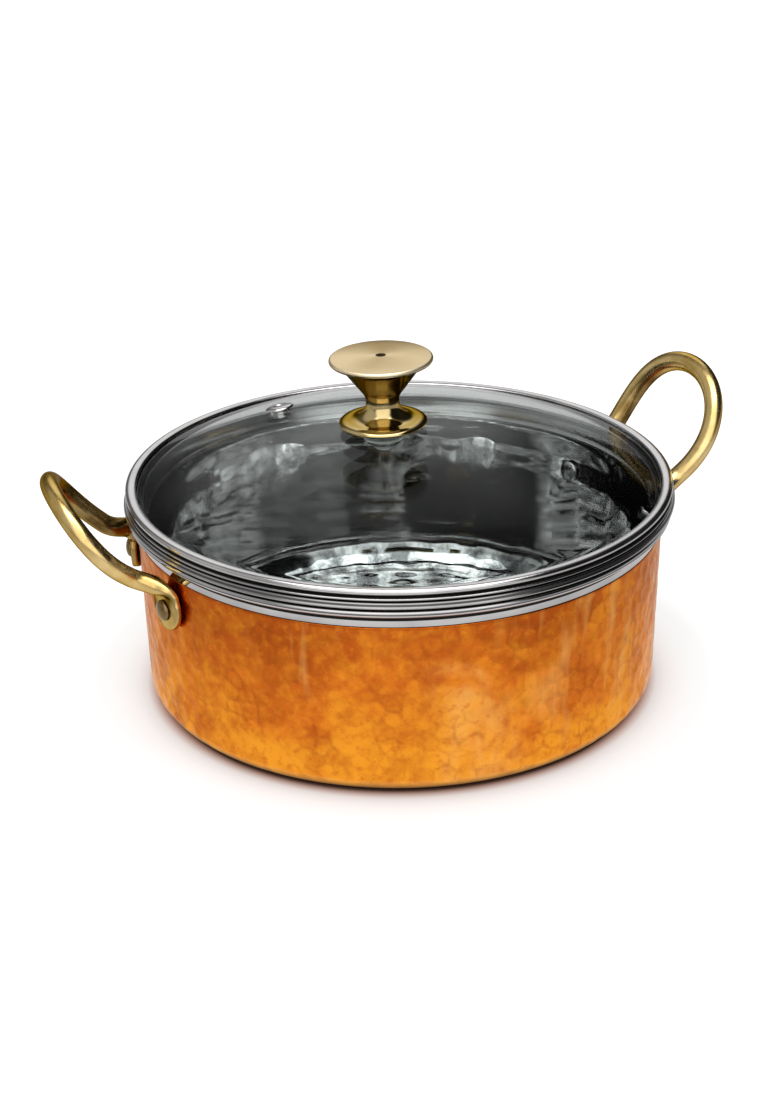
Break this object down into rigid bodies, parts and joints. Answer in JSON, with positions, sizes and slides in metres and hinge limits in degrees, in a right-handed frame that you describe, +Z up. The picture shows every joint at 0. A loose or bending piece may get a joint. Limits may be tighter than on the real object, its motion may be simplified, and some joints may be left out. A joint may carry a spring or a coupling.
{
  "type": "lidded two-handled copper saucepan",
  "caption": "Round hammered copper pan with a steel liner, riveted brass loop handles and a domed glass lid with a brass knob.",
  "frame": {"origin": "centre of the pan's underside", "axes": "+Z up along the pan's and the lid's axis, X through the two handles with the taller one at +X, +Y away from the side with both near rivets"},
  "size_m": [0.2484, 0.1916, 0.1194],
  "materials": {
    "copper": "hammered copper, satin polished",
    "steel": "mirror polished stainless steel",
    "handle_brass": "satin polished brass",
    "knob_brass": "brushed pale brass",
    "rivet_brass": "dark, worn brass",
    "lid_glass": "clear tempered glass",
    "silicone": "clear silicone seal"
  },
  "bodies": {
    "pan": {"copper_shell": "copper", "inner_pan": "steel", "handle_left": "handle_brass", "handle_right": "handle_brass", "rivet_left_front": "rivet_brass", "rivet_left_back": "rivet_brass", "rivet_right_front": "rivet_brass", "rivet_right_back": "rivet_brass"},
    "lid": {"lid_ring": "steel", "lid_glass": "lid_glass", "vent_eyelet": "steel", "knob": "knob_brass", "knob_gasket": "silicone", "under_gasket": "silicone", "knob_washer": "steel", "knob_screw": "steel"}
  },
  "joints": [
    {"name": "lid_lift", "type": "slide", "parent": "pan", "child": "lid", "axis": [0, 0, 1], "range_m": [0, 0.08]}
  ]
}
